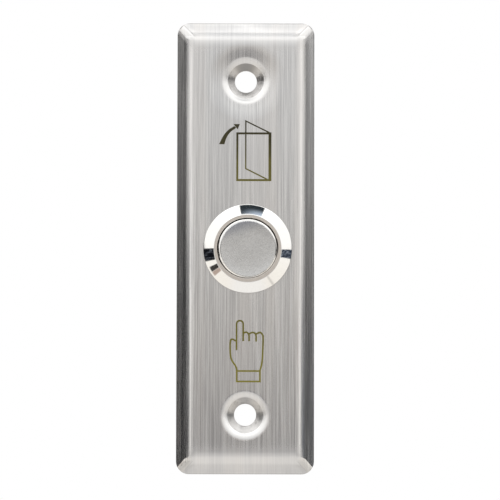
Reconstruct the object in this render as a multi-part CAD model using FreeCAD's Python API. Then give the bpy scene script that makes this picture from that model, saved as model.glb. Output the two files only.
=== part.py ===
import FreeCAD, Part
import math
import os

from FreeCAD import Vector

# Door exit button: a narrow stainless steel cover plate with a round metal push button.
# Millimetres. +Z is up, -Y is the front that people see, +Y goes into the door frame.
# The origin is on the wall plane, midway between the two fixing holes.

os.makedirs("parts", exist_ok=True)

# cover plate, pressed from one sheet; a flat facet joins the bevels at each corner
plateLength = 92.0
plateWidth = 28.0
plateDepth = 2.5
sheetThickness = 1.0
rimHeight = 0.8
rimCornerRadius = 2.6
sideBevelRun = 2.25
endBevelRun = 2.75
cornerFacetRun = 3.5
cornerFacetCut = 0.78
cutterOverrun = 1.0

# bend radii between the face and the bevels, on the sheet's inner skin
sideBendRadius = 1.3
endBendRadius = 2.6

# fixing holes, each countersunk at the bottom of a pressed dimple
fixingSpacing = 68.0
fixingHoleRadius = 2.25
dimpleFoot = 0.275
dimpleAngle = 36.0
dimpleBend = 0.8
dimpleMargin = 0.4
countersinkWidth = 1.5
countersinkAngle = 45.0

# where the switch sits on the plate: a little to the right of the fixing holes
switchX = 0.45
switchZ = -0.25

# switch barrel and its flange
panelClearance = 0.2
neckDepth = 0.45
neckLength = 0.9
barrelChamfer = 0.5
rearWall = 1.37
threadPitch = 1.0
threadDepth = 0.53
threadCrest = 0.2
threadRoot = 0.2
flangeEdge = 0.6
flangeRise = 1.2
bevelWidth = 2.15
landWidth = 0.75
stepDepth = 4.2
edgeBreak = 0.12

# flange gasket
gasketThickness = 0.4
gasketSideGap = 0.1
gasketInset = 0.25

# button cap
capFlangeClearance = 0.2
capFlangeWidth = 0.45
capFlangeThickness = 1.2
capClearance = 0.15
capProud = 0.5
capEdgeRound = 0.3
capFaceThickness = 1.5
capWall = 1.55
sealRadius = 0.44
sealGap = 0.06
sealSetback = 2.0
grooveClearance = 0.03

# travel: the bridge meets the contacts first, then the button goes on a little
bridgeTravel = 1.4
overTravel = 0.6

# plunger
plungerHeadThickness = 1.5
pressClearance = 0.05
shoulderLip = 0.275
shoulderLength = 4.8
stemRadius = 1.2
stemEngagement = 0.9
stemEndGap = 0.4
stemChamfer = 0.2
ribThickness = 0.8
ribCount = 4
ribDepth = 3.0
ribInset = 0.3
runningClearance = 0.08

# clip that keeps the bridge on the stem
clipThickness = 0.35
clipLip = 0.9
clipGrooveDepth = 0.32
clipMouth = 1.4

# both springs: pitch of the closed end turns in wire diameters, and the turns over which it opens
closedTurnPitch = 1.02
easeTurns = 0.5
pointsPerTurn = 12

# spring that presses the bridge onto the contacts
contactSpringWire = 0.35
contactSpringLength = 2.6
contactSpringTurns = 3
contactSpringGap = 0.375

# contact bridge, and its rivets over the two terminals
terminalSpacing = 7.8
bridgeEndGap = 0.2
bridgeWidth = 3.2
bridgeThickness = 0.4
bridgeCorner = 0.6
tipInset = 1.0
tipRadius = 0.9
tipHeight = 0.35
tipTailRadius = 0.75
tipTailHeight = 0.25
tipShankRadius = 0.5
tipRound = 0.15
tipFit = 0.01

# return spring between the cap and the contact base
returnSpringWire = 0.6
returnSpringLength = 5.8
returnSpringTurns = 3
returnSpringGap = 0.4

# contact base, moulded
baseFit = 0.03
baseWall = 1.2
baseFloor = 2.9
baseFlangeInset = 0.55
baseFlangeThickness = 1.5
baseFlangeRound = 0.3
guideGap = 0.15
guideBossHeight = 0.5
guideBossWall = 0.5
barrierThickness = 1.0
barrierWidth = 11.0
barrierProud = 0.6
barrierRound = 0.4

# terminals
postNeckRadius = 1.1
postBodyRadius = 1.9
postBodyDepth = 3.0
postCollarRadius = 2.3
postCollarThickness = 1.6
postFit = 0.02
tappedRadius = 1.25
tappedDepth = 3.8

# clamp washers and terminal screws
washerSide = 4.6
washerThickness = 0.6
washerCorner = 0.6
washerClearance = 0.2
screwClearance = 0.03
screwEndGap = 0.4
screwHeadRadius = 2.2
screwHeadHeight = 1.7
screwHeadRound = 0.6
recessDepth = 0.9
recessWidth = 0.55
recessSpan = 2.6

# hexagon nut and toothed lock washer behind the plate
nutWall = 1.5
nutThickness = 3.0
nutClearance = 0.05
nutCornerChamfer = 0.4
nutBoreChamfer = 0.3
lockWasherGap = 0.6
lockRingThickness = 0.35
lockRingWidth = 0.55
lockToothClearance = 0.15
lockToothReach = 0.65
lockToothRoot = 0.2
lockToothWidth = 2.2
lockToothCount = 12
lockToothTwist = 6.0

# places along Y, from the front to the back
buttonTravel = bridgeTravel + overTravel
faceY = -plateDepth
backOfPlateY = faceY + sheetThickness
nutFrontY = backOfPlateY + lockWasherGap
flangeBackY = faceY - gasketThickness
flangeEdgeY = flangeBackY - flangeEdge
landY = flangeEdgeY - flangeRise
stepY = landY + stepDepth
capFrontY = landY - capProud
capRearY = stepY + capFlangeThickness
capCavityY = capFrontY + capFaceThickness
plungerHeadY = capCavityY + plungerHeadThickness
shoulderY = plungerHeadY + shoulderLength
bridgeFrontY = shoulderY + contactSpringLength
bridgeBackY = bridgeFrontY + bridgeThickness
clipBackY = bridgeBackY + clipThickness
movingTipY = bridgeBackY + tipHeight
fixedTipY = movingTipY + bridgeTravel
guideFrontY = clipBackY + buttonTravel + guideGap
stemEndY = guideFrontY + stemEngagement
guideEndY = stemEndY + buttonTravel + stemEndGap
chamberFloorY = guideFrontY + guideBossHeight
baseRimY = capRearY + returnSpringLength
barrelEndY = chamberFloorY + baseFloor
baseBackY = barrelEndY + baseFlangeThickness
collarBackY = baseBackY + postCollarThickness
tappedEndY = collarBackY - tappedDepth
washerBackY = collarBackY + washerThickness
screwBackY = washerBackY + screwHeadHeight

# radii from the middle outwards: the bridge, the base round it, the barrel, then the plate's hole
terminalX = terminalSpacing / 2.0
bridgeHalfLength = terminalX + tipInset
chamberRadius = math.hypot(bridgeHalfLength, bridgeWidth / 2.0) + bridgeEndGap
baseRadius = chamberRadius + baseWall
rearBoreRadius = baseRadius + baseFit
barrelRadius = rearBoreRadius + rearWall
nutBoreRadius = barrelRadius + nutClearance
panelHoleRadius = barrelRadius + panelClearance

# radii of the cap and of the flange round it
capFlangeRadius = rearBoreRadius - capFlangeClearance
capRadius = capFlangeRadius - capFlangeWidth
capBoreRadius = capRadius + capClearance
capCavityRadius = capRadius - capWall
sealOuterRadius = capBoreRadius - sealGap
flangeRadius = capBoreRadius + landWidth + bevelWidth

# radii of the stem, the small spring on it and the terminal screws
contactSpringRadius = stemRadius + contactSpringGap + contactSpringWire
shoulderRadius = contactSpringRadius + shoulderLip
stemHoleRadius = stemRadius + runningClearance
screwShankRadius = tappedRadius - screwClearance


def corner(points, index):
    """Start, end and middle of the arc at one corner; all three are the corner when it is sharp."""
    here = Vector(points[index][0], points[index][1], 0)
    rounding = points[index][2] if len(points[index]) > 2 else 0.0
    if rounding <= 0:
        return here, here, here
    before = points[index - 1]
    after = points[(index + 1) % len(points)]
    toBefore = (Vector(before[0], before[1], 0) - here).normalize()
    toAfter = (Vector(after[0], after[1], 0) - here).normalize()
    half = toBefore.getAngle(toAfter) / 2.0
    reach = rounding / math.tan(half)
    centre = here + (toBefore + toAfter).normalize() * (rounding / math.sin(half))
    middle = centre + (here - centre).normalize() * rounding
    return here + toBefore * reach, here + toAfter * reach, middle


def outline(points):
    """Closed wire in the XY plane; a point is (x, y) or (x, y, rounding)."""
    corners = [corner(points, index) for index in range(len(points))]
    edges = []
    for index, (start, end, middle) in enumerate(corners):
        if start != end:
            edges.append(Part.Arc(start, middle, end).toShape())
        following = corners[(index + 1) % len(corners)][0]
        if (following - end).Length > 1e-6:
            edges.append(Part.LineSegment(end, following).toShape())
    return Part.Wire(edges)


def turned(points, x=0.0, z=0.0):
    """Solid of revolution about an axis along Y, from (radius, y) or (radius, y, rounding)."""
    solid = Part.Face(outline(points)).revolve(Vector(0, 0, 0), Vector(0, 1, 0), 360)
    if solid.Volume < 0:
        solid.reverse()
    solid.translate(Vector(x, 0, z))
    return solid


def rod(radius, fromY, toY, x=0.0, z=0.0):
    """Plain round bar along Y."""
    return Part.makeCylinder(radius, toY - fromY, Vector(x, fromY, z), Vector(0, 1, 0))


def block(sizeX, sizeZ, fromY, toY, x=0.0, z=0.0, rounding=0.0):
    """Box centred on (x, z), with its four edges along Y rounded."""
    low = Vector(x - sizeX / 2.0, fromY, z - sizeZ / 2.0)
    solid = Part.makeBox(sizeX, toY - fromY, sizeZ, low)
    if rounding <= 0:
        return solid
    uprights = [edge for edge in solid.Edges if abs(edge.tangentAt(edge.FirstParameter).y) > 0.99]
    return solid.makeFillet(rounding, uprights)


def openShare(turn, turns):
    """How far a spring's pitch has opened at one turn: 0 in the closed end turns, 1 between them."""
    share = (min(turn, turns - turn) - 1.0) / easeTurns + 0.5
    share = min(max(share, 0.0), 1.0)
    return share * share * (3.0 - 2.0 * share)


def coilSpring(outerRadius, wire, openTurns, frontY, backY):
    """Compression spring along Y: its pitch opens smoothly from one closed turn at each end."""
    meanRadius = outerRadius - wire / 2.0
    closedPitch = wire * closedTurnPitch
    turns = openTurns + 2
    opened = [0.0]
    for index in range(turns * pointsPerTurn):
        opened.append(opened[-1] + openShare((index + 0.5) / pointsPerTurn, turns) / pointsPerTurn)
    spare = (backY - frontY - wire - closedPitch * turns) / opened[-1]
    points = []
    for index, share in enumerate(opened):
        turn = index / pointsPerTurn
        angle = 2.0 * math.pi * turn
        y = frontY + wire / 2.0 + closedPitch * turn + spare * share
        points.append(Vector(meanRadius * math.cos(angle), y, meanRadius * math.sin(angle)))
    line = Part.BSplineCurve()
    line.interpolate(points)
    path = line.toShape()
    start = path.valueAt(path.FirstParameter)
    along = path.tangentAt(path.FirstParameter)
    section = Part.Wire([Part.makeCircle(wire / 2.0, start, along)])
    return Part.Wire([path]).makePipeShell([section], True, True)


def bevelledBar(halfWidth, run, bend, inset, turn):
    """Bar with a bevel along both long edges of its front, lying along Z and then turned about Y."""
    slope = math.atan2(plateDepth - rimHeight, run)
    half = halfWidth - inset
    front = inset - plateDepth
    rimY = inset * math.tan(math.pi / 4.0 - slope / 2.0) - rimHeight
    faceHalf = half - (rimY - front) / math.tan(slope)
    rounding = bend + sheetThickness - inset
    section = outline([
        (-half, 0.0),
        (half, 0.0),
        (half, rimY),
        (faceHalf, front, rounding),
        (-faceHalf, front, rounding),
        (-half, rimY),
    ])
    length = 2.0 * (plateLength + plateWidth)
    bar = Part.Face(section).extrude(Vector(0, 0, length))
    bar.translate(Vector(0, 0, -length / 2.0))
    bar.rotate(Vector(0, 0, 0), Vector(0, 1, 0), turn)
    return bar


def pressedForm(inset):
    """Solid inside the plate's outer skin, or inside its inner skin at the sheet's thickness."""
    sizeX = plateWidth - 2.0 * inset
    sizeZ = plateLength - 2.0 * inset
    form = block(sizeX, sizeZ, inset - plateDepth, 0.0, rounding=rimCornerRadius - inset)
    facetHalf = (plateWidth + plateLength) / 2.0 / math.sqrt(2.0) - cornerFacetCut
    bars = [
        bevelledBar(plateWidth / 2.0, sideBevelRun, sideBendRadius, inset, 0.0),
        bevelledBar(plateLength / 2.0, endBevelRun, endBendRadius, inset, 90.0),
        bevelledBar(facetHalf, cornerFacetRun, sideBendRadius, inset, 45.0),
        bevelledBar(facetHalf, cornerFacetRun, sideBendRadius, inset, -45.0),
    ]
    for bar in bars:
        form = form.common(bar)
    return form


def fixingDimple():
    """Ring of sheet pressed down to the wall round one fixing hole, and the radius that it fills."""
    steepness = math.tan(math.radians(dimpleAngle))
    halfLean = math.tan(math.radians(dimpleAngle) / 2.0)
    frontBend = dimpleBend + sheetThickness
    footRadius = fixingHoleRadius + dimpleFoot
    backLipRadius = footRadius - backOfPlateY / steepness
    lipRadius = backLipRadius - sheetThickness * halfLean
    outerRadius = lipRadius + frontBend * halfLean + dimpleMargin
    sinkRadius = fixingHoleRadius + countersinkWidth
    sinkY = faceY + (lipRadius - sinkRadius) * steepness
    holeY = sinkY + countersinkWidth * math.tan(math.radians(countersinkAngle))
    ring = turned([
        (outerRadius, faceY),
        (lipRadius, faceY, frontBend),
        (sinkRadius, sinkY),
        (fixingHoleRadius, holeY),
        (fixingHoleRadius, 0.0),
        (footRadius, 0.0),
        (backLipRadius, backOfPlateY, dimpleBend),
        (outerRadius, backOfPlateY),
    ])
    return ring, outerRadius


def makeFaceplate():
    sheet = pressedForm(0.0).cut(pressedForm(sheetThickness))
    dimple, reach = fixingDimple()
    for z in (-fixingSpacing / 2.0, fixingSpacing / 2.0):
        sheet = sheet.cut(rod(reach, faceY - cutterOverrun, cutterOverrun, z=z))
        placed = dimple.copy()
        placed.translate(Vector(0, 0, z))
        sheet = sheet.fuse(placed)
    sheet = sheet.removeSplitter()
    return sheet.cut(rod(panelHoleRadius, faceY - cutterOverrun, cutterOverrun, switchX, switchZ))


def threadGrooves(fromY, toY):
    """Outline of the barrel's thread, cut as rings of its own pitch and depth."""
    flank = (threadPitch - threadCrest - threadRoot) / 2.0
    count = int((toY - fromY) / threadPitch)
    firstCrestY = (fromY + toY - count * threadPitch) / 2.0
    points = []
    for index in range(count):
        grooveY = firstCrestY + index * threadPitch + threadCrest / 2.0
        rootY = grooveY + flank
        points += [
            (barrelRadius, grooveY),
            (barrelRadius - threadDepth, rootY),
            (barrelRadius - threadDepth, rootY + threadRoot),
            (barrelRadius, rootY + threadRoot + flank),
        ]
    return points


def makeHousing():
    neckRadius = barrelRadius - neckDepth
    neckEndY = flangeBackY + neckLength
    threadStartY = neckEndY + neckDepth
    threadEndY = barrelEndY - barrelChamfer
    return turned([
        (capBoreRadius, landY, edgeBreak),
        (capBoreRadius + landWidth, landY, edgeBreak),
        (flangeRadius, flangeEdgeY, edgeBreak),
        (flangeRadius, flangeBackY, edgeBreak),
        (neckRadius, flangeBackY),
        (neckRadius, neckEndY),
        (barrelRadius, threadStartY),
        *threadGrooves(threadStartY, threadEndY),
        (barrelRadius, threadEndY),
        (barrelRadius - barrelChamfer, barrelEndY),
        (rearBoreRadius, barrelEndY),
        (rearBoreRadius, stepY),
        (capBoreRadius, stepY),
    ])


def makeFlangeGasket():
    inner = barrelRadius + gasketSideGap
    outer = flangeRadius - gasketInset
    return turned([
        (inner, flangeBackY),
        (outer, flangeBackY, edgeBreak),
        (outer, faceY, edgeBreak),
        (inner, faceY),
    ])


def makeButtonCap():
    grooveRadius = sealOuterRadius - 2 * sealRadius - grooveClearance
    sealY = capFrontY + sealSetback
    halfGroove = sealRadius + grooveClearance
    return turned([
        (0.0, capFrontY),
        (capRadius, capFrontY, capEdgeRound),
        (capRadius, sealY - halfGroove),
        (grooveRadius, sealY - halfGroove),
        (grooveRadius, sealY + halfGroove),
        (capRadius, sealY + halfGroove),
        (capRadius, stepY),
        (capFlangeRadius, stepY),
        (capFlangeRadius, capRearY, edgeBreak),
        (capCavityRadius, capRearY),
        (capCavityRadius, capCavityY),
        (0.0, capCavityY),
    ])


def makeCapSeal():
    middle = Vector(0, capFrontY + sealSetback, 0)
    return Part.makeTorus(sealOuterRadius - sealRadius, sealRadius, middle, Vector(0, 1, 0))


def makePlunger():
    grooveRadius = stemRadius - clipGrooveDepth
    stem = turned([
        (0.0, capCavityY),
        (capCavityRadius - pressClearance, capCavityY, edgeBreak),
        (capCavityRadius - pressClearance, plungerHeadY, edgeBreak),
        (shoulderRadius, plungerHeadY),
        (shoulderRadius, shoulderY, edgeBreak),
        (stemRadius, shoulderY),
        (stemRadius, bridgeBackY),
        (grooveRadius, bridgeBackY),
        (grooveRadius, clipBackY),
        (stemRadius, clipBackY),
        (stemRadius, stemEndY - stemChamfer),
        (stemRadius - stemChamfer, stemEndY),
        (0.0, stemEndY),
    ])
    ribSpan = 2 * (capCavityRadius - ribInset)
    ribs = []
    for index in range(ribCount // 2):
        rib = block(ribSpan, ribThickness, plungerHeadY, plungerHeadY + ribDepth)
        rib.rotate(Vector(0, 0, 0), Vector(0, 1, 0), 360.0 / ribCount * index)
        ribs.append(rib)
    return stem.fuse(ribs).removeSplitter()


def makeBridgeClip():
    outer = stemRadius + clipLip
    inner = stemRadius - clipGrooveDepth + grooveClearance
    ring = rod(outer, bridgeBackY, clipBackY).cut(rod(inner, bridgeBackY, clipBackY))
    mouth = block(clipMouth, outer, bridgeBackY, clipBackY, z=-outer / 2.0)
    return ring.cut(mouth)


def makeContactSpring():
    return coilSpring(contactSpringRadius, contactSpringWire, contactSpringTurns, shoulderY, bridgeFrontY)


def makeReturnSpring():
    outer = rearBoreRadius - returnSpringGap
    return coilSpring(outer, returnSpringWire, returnSpringTurns, capRearY, baseRimY)


def makeContactBridge():
    strip = block(2 * bridgeHalfLength, bridgeWidth, bridgeFrontY, bridgeBackY, rounding=bridgeCorner)
    strip = strip.cut(rod(stemHoleRadius, bridgeFrontY, bridgeBackY))
    for x in (-terminalX, terminalX):
        strip = strip.cut(rod(tipShankRadius + tipFit, bridgeFrontY, bridgeBackY, x))
    return strip


def makeBridgeTip(x):
    return turned([
        (0.0, bridgeFrontY - tipTailHeight),
        (tipTailRadius, bridgeFrontY - tipTailHeight, tipRound),
        (tipTailRadius, bridgeFrontY),
        (tipShankRadius, bridgeFrontY),
        (tipShankRadius, bridgeBackY),
        (tipRadius, bridgeBackY),
        (tipRadius, movingTipY, tipRound),
        (0.0, movingTipY),
    ], x)


def makeContactBase():
    flange = barrelRadius - baseFlangeInset
    base = turned([
        (chamberRadius, baseRimY),
        (baseRadius, baseRimY),
        (baseRadius, barrelEndY),
        (flange, barrelEndY),
        (flange, baseBackY, baseFlangeRound),
        (0.0, baseBackY),
        (0.0, chamberFloorY),
        (chamberRadius, chamberFloorY),
    ])
    boss = rod(stemHoleRadius + guideBossWall, guideFrontY, chamberFloorY)
    barrier = block(barrierThickness, barrierWidth, baseBackY, screwBackY + barrierProud)
    barrierEnd = [
        edge for edge in barrier.Edges
        if abs(edge.tangentAt(edge.FirstParameter).x) > 0.99 and edge.CenterOfMass.y > baseBackY
    ]
    barrier = barrier.makeFillet(barrierRound, barrierEnd)
    base = base.fuse([boss, barrier]).removeSplitter()
    base = base.cut(rod(stemHoleRadius, guideFrontY, guideEndY))
    for x in (-terminalX, terminalX):
        neck = rod(postNeckRadius + postFit, chamberFloorY, baseBackY, x)
        body = rod(postBodyRadius + postFit, baseBackY - postBodyDepth, baseBackY, x)
        base = base.cut(neck.fuse(body))
    return base


def makeTerminal(x):
    bodyY = baseBackY - postBodyDepth
    return turned([
        (0.0, fixedTipY),
        (postNeckRadius, fixedTipY, tipRound),
        (postNeckRadius, bodyY),
        (postBodyRadius, bodyY),
        (postBodyRadius, baseBackY),
        (postCollarRadius, baseBackY),
        (postCollarRadius, collarBackY, edgeBreak),
        (tappedRadius, collarBackY),
        (tappedRadius, tappedEndY),
        (0.0, tappedEndY),
    ], x)


def makeClampWasher(x):
    plate = block(washerSide, washerSide, collarBackY, washerBackY, x, rounding=washerCorner)
    return plate.cut(rod(screwShankRadius + washerClearance, collarBackY, washerBackY, x))


def makeTerminalScrew(x):
    tipY = tappedEndY + screwEndGap
    screw = turned([
        (0.0, tipY),
        (screwShankRadius - stemChamfer, tipY),
        (screwShankRadius, tipY + stemChamfer),
        (screwShankRadius, washerBackY),
        (screwHeadRadius, washerBackY),
        (screwHeadRadius, screwBackY, screwHeadRound),
        (0.0, screwBackY),
    ], x)
    across = block(recessSpan, recessWidth, screwBackY - recessDepth, screwBackY, x)
    upright = block(recessWidth, recessSpan, screwBackY - recessDepth, screwBackY, x)
    return screw.cut(across.fuse(upright))


def makeHexNut():
    backY = nutFrontY + nutThickness
    flatRadius = nutBoreRadius + nutWall
    cornerRadius = flatRadius / math.cos(math.radians(30.0))
    corners = []
    for index in range(6):
        angle = math.radians(30.0 + 60.0 * index)
        corners.append(Vector(cornerRadius * math.cos(angle), nutFrontY, cornerRadius * math.sin(angle)))
    hexagon = Part.Face(Part.makePolygon(corners + corners[:1])).extrude(Vector(0, nutThickness, 0))
    chamfered = turned([
        (nutBoreRadius + nutBoreChamfer, nutFrontY),
        (flatRadius, nutFrontY),
        (cornerRadius, nutFrontY + nutCornerChamfer),
        (cornerRadius, backY - nutCornerChamfer),
        (flatRadius, backY),
        (nutBoreRadius + nutBoreChamfer, backY),
        (nutBoreRadius, backY - nutBoreChamfer),
        (nutBoreRadius, nutFrontY + nutBoreChamfer),
    ])
    return hexagon.common(chamfered)


def makeLockWasher():
    middleY = backOfPlateY + lockWasherGap / 2.0
    frontY = middleY - lockRingThickness / 2.0
    backY = middleY + lockRingThickness / 2.0
    toothTip = barrelRadius + lockToothClearance
    ringInner = toothTip + lockToothReach
    ring = rod(ringInner + lockRingWidth, frontY, backY).cut(rod(ringInner, frontY, backY))
    toothLength = lockToothReach + lockToothRoot
    teeth = []
    for index in range(lockToothCount):
        tooth = block(toothLength, lockToothWidth, frontY, backY, toothTip + toothLength / 2.0)
        tooth.rotate(Vector(0, middleY, 0), Vector(1, 0, 0), lockToothTwist)
        tooth.rotate(Vector(0, 0, 0), Vector(0, 1, 0), 360.0 / lockToothCount * index)
        teeth.append(tooth)
    return ring.fuse(teeth)


def save(name, shape):
    """Writes one sub-part; the switch's pieces are built about its own axis."""
    placed = shape.copy()
    if name != "faceplate":
        placed.translate(Vector(switchX, 0, switchZ))
    if placed.ShapeType != "Solid" and len(placed.Solids) == 1:
        placed = placed.Solids[0]
    placed.exportStep("parts/" + name + ".step")
    print(name, "valid" if placed.isValid() else "INVALID", len(placed.Solids), round(placed.Volume, 3))


save("faceplate", makeFaceplate())
save("switch_housing", makeHousing())
save("flange_gasket", makeFlangeGasket())
save("lock_washer", makeLockWasher())
save("hex_nut", makeHexNut())
save("button_cap", makeButtonCap())
save("cap_seal", makeCapSeal())
save("plunger", makePlunger())
save("return_spring", makeReturnSpring())
save("contact_spring", makeContactSpring())
save("contact_bridge", makeContactBridge())
save("bridge_clip", makeBridgeClip())
save("contact_base", makeContactBase())
for side, x in (("left", -terminalX), ("right", terminalX)):
    save("bridge_tip_" + side, makeBridgeTip(x))
    save("terminal_" + side, makeTerminal(x))
    save("clamp_washer_" + side, makeClampWasher(x))
    save("terminal_screw_" + side, makeTerminalScrew(x))
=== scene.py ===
import math

import bpy
from mathutils import Matrix, Vector


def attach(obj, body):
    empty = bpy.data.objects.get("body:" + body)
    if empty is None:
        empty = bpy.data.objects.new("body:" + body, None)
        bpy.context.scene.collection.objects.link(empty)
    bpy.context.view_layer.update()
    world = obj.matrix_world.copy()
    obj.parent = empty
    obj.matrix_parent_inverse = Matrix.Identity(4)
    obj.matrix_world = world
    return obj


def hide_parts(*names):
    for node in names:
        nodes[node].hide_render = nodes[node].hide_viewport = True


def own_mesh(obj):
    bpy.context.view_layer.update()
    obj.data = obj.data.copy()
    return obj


# Door exit button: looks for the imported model. Metres, +Z up, -Y is the front.

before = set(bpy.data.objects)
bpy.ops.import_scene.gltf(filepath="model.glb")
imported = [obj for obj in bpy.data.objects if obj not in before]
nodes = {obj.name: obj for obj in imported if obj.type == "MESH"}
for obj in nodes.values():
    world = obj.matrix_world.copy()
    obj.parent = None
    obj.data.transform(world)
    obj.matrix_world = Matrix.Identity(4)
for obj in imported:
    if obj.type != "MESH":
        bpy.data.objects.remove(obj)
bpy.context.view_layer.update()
print("frame loaded:", len(nodes), "nodes")

mm = 0.001
faceY = -2.5            # front of the plate, in millimetres
switchX, switchZ = 0.45, -0.25


def tone(red, green, blue):
    # an 8-bit colour as the linear one that the shader wants
    linear = [value / 255 for value in (red, green, blue)]
    linear = [v / 12.92 if v <= 0.04045 else ((v + 0.055) / 1.055) ** 2.4 for v in linear]
    return (*linear, 1.0)


class Value:
    # a number in a node tree; the signs below add Math nodes
    def __init__(self, graph, socket):
        self.graph = graph
        self.socket = socket

    def maths(self, operation, first, second=None):
        inputs = [first] if second is None else [first, second]
        return self.graph.add("ShaderNodeMath", {"operation": operation}, inputs)

    def __add__(self, other):
        return self.maths("ADD", self, other)

    def __sub__(self, other):
        return self.maths("SUBTRACT", self, other)

    def __rsub__(self, other):
        return self.maths("SUBTRACT", other, self)

    def __mul__(self, other):
        return self.maths("MULTIPLY", self, other)

    def __truediv__(self, other):
        return self.maths("DIVIDE", self, other)

    def __pow__(self, other):
        return self.maths("POWER", self, other)

    def __neg__(self):
        return self.maths("SUBTRACT", 0, self)

    def __abs__(self):
        return self.maths("ABSOLUTE", self)

    def root(self):
        return self.maths("SQRT", self)

    def atLeast(self, other):
        return self.maths("MAXIMUM", self, other)

    __radd__ = __add__
    __rmul__ = __mul__


class Graph:
    # one node tree, of a material or of the world
    def __init__(self, tree):
        self.tree = tree
        tree.nodes.clear()

    def add(self, kind, settings=None, inputs=None, output=0):
        node = self.tree.nodes.new(kind)
        for name, value in (settings or {}).items():
            if name == "stops":
                self.setStops(node.color_ramp, value)
            else:
                setattr(node, name, value)
        pairs = enumerate(inputs) if isinstance(inputs, (list, tuple)) else (inputs or {}).items()
        for name, value in pairs:
            if isinstance(value, Value):
                self.tree.links.new(value.socket, node.inputs[name])
            else:
                node.inputs[name].default_value = value
        if len(node.outputs):
            return Value(self, node.outputs[output])

    def setStops(self, ramp, stops):
        while len(ramp.elements) < len(stops):
            ramp.elements.new(1.0)
        for element, (place, colour) in zip(ramp.elements, stops):
            element.position = place
            element.color = colour

    def split(self, vector):
        return [self.add("ShaderNodeSeparateXYZ", None, [vector], k) for k in range(3)]

    def place(self):
        # object coordinates in millimetres
        coords = self.add("ShaderNodeTexCoord", output=3)
        return self.scaled(coords, (1000, 1000, 1000))

    def scaled(self, vector, factors):
        return self.add("ShaderNodeVectorMath", {"operation": "MULTIPLY"}, [vector, factors])

    def joined(self, x, y, z):
        return self.add("ShaderNodeCombineXYZ", None, [x, y, z])

    def noise(self, vector, detail=2.0, roughness=0.5):
        return self.add("ShaderNodeTexNoise", {"noise_dimensions": "3D"},
                        {"Vector": vector, "Scale": 1.0, "Detail": detail, "Roughness": roughness})

    def grains(self, place, perMm, detail=3.0, roughness=0.5):
        # noise that is as fine in every direction
        return self.noise(self.scaled(place, (perMm, perMm, perMm)), detail, roughness)

    def rise(self, value, low, high):
        # 0 below low, 1 above high, smooth between
        return self.add("ShaderNodeMapRange", {"interpolation_type": "SMOOTHSTEP"},
                        {"Value": value, "From Min": low, "From Max": high})

    def slope(self, value, low, high):
        # as rise, but straight between; low may be the larger
        return self.add("ShaderNodeMapRange", {"interpolation_type": "LINEAR"},
                        {"Value": value, "From Min": low, "From Max": high})

    def band(self, value, low, high, soft):
        # 1 between low and high, with soft edges
        past = self.rise(value, high - soft, high + soft)
        return self.rise(value, low - soft, low + soft) * (1 - past)

    def ramp(self, value, stops):
        return self.add("ShaderNodeValToRGB", {"stops": stops}, {"Fac": value})

    def mix(self, factor, first, second):
        return self.add("ShaderNodeMix", {"data_type": "RGBA"}, {0: factor, 6: first, 7: second}, 2)


def material(name, inputs, paint):
    # one Principled surface; paint gives what changes over it, and its height in millimetres
    made = bpy.data.materials.new(name)
    made.use_nodes = True
    graph = Graph(made.node_tree)
    values = {**inputs, **paint(graph)}
    bump = {"Strength": 1.0, "Distance": mm, "Height": values.pop("height")}
    values["Normal"] = graph.add("ShaderNodeBump", None, bump)
    surface = graph.add("ShaderNodeBsdfPrincipled", None, values)
    graph.add("ShaderNodeOutputMaterial", None, {"Surface": surface})
    return made


# camera: the photo is 500 pixels wide, and the plate is 137 of them and 28 mm across
photo = {
    "pixels": 500,
    "pixelsPerMm": 4.893,
    "plateCentre": (245.5, 248.0),
    "distance": 360.0,
    "elevation": -2.0,
    "roll": 0.14,
    "sensor": 36.0,
    "clipStart": 0.01,
}


def makeCamera():
    middle = photo["pixels"] / 2
    x = (middle - photo["plateCentre"][0]) / photo["pixelsPerMm"]
    z = (photo["plateCentre"][1] - middle) / photo["pixelsPerMm"]
    tilt = math.radians(photo["elevation"])
    aim = Vector((x, 0, z)) * mm
    away = Vector((0, -math.cos(tilt), math.sin(tilt)))
    data = bpy.data.cameras.new("camera")
    data.sensor_width = photo["sensor"]
    data.lens = photo["sensor"] * photo["distance"] / (photo["pixels"] / photo["pixelsPerMm"])
    data.clip_start = photo["clipStart"]
    camera = bpy.data.objects.new("camera", data)
    bpy.context.scene.collection.objects.link(camera)
    turn = (-away).to_track_quat("-Z", "Y").to_matrix().to_4x4()
    roll = Matrix.Rotation(math.radians(photo["roll"]), 4, "Z")
    camera.matrix_world = Matrix.Translation(aim + away * photo["distance"] * mm) @ turn @ roll
    bpy.context.scene.camera = camera


# the studio round the object: white screens, with dark gaps between them. Places are parts of the
# direction in which a ray leaves, from -1 to 1; a third number is how soft the edges are
studio = {
    "level": 1.15,
    "lampAbove": 0.4,
    "lampHeight": (0.5, 0.9),
    "screens": [
        (-1.0, tone(196, 192, 186)),
        (-0.86, tone(238, 233, 226)),
        (-0.5, tone(242, 238, 231)),
        (-0.2, tone(246, 243, 238)),
        (0.15, tone(255, 254, 252)),
        (1.0, tone(255, 255, 255)),
    ],
    # what stands in front of the object, round the lens, from the floor to the ceiling
    "lens": [
        (-1.0, tone(150, 149, 147)),
        (-0.96, tone(208, 206, 204)),
        (-0.88, tone(238, 236, 233)),
        (-0.6, tone(236, 234, 231)),
        (-0.4, tone(230, 228, 226)),
        (-0.25, tone(208, 207, 206)),
        (-0.17, tone(150, 149, 150)),
        (-0.10, tone(116, 116, 119)),
        (-0.05, tone(170, 166, 162)),
        (0.0, tone(194, 190, 185)),
        (0.06, tone(197, 196, 194)),
        (0.12, tone(207, 207, 207)),
        (0.26, tone(217, 218, 218)),
        (0.47, tone(236, 236, 235)),
        (0.66, tone(250, 250, 249)),
        (0.8, tone(255, 255, 254)),
    ],
    "lensAcross": (0.228, 0.513),
    "lensFront": (-0.15, 0.1),
    "tiny": 0.0001,             # keeps a slant from dividing by zero
}

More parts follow.
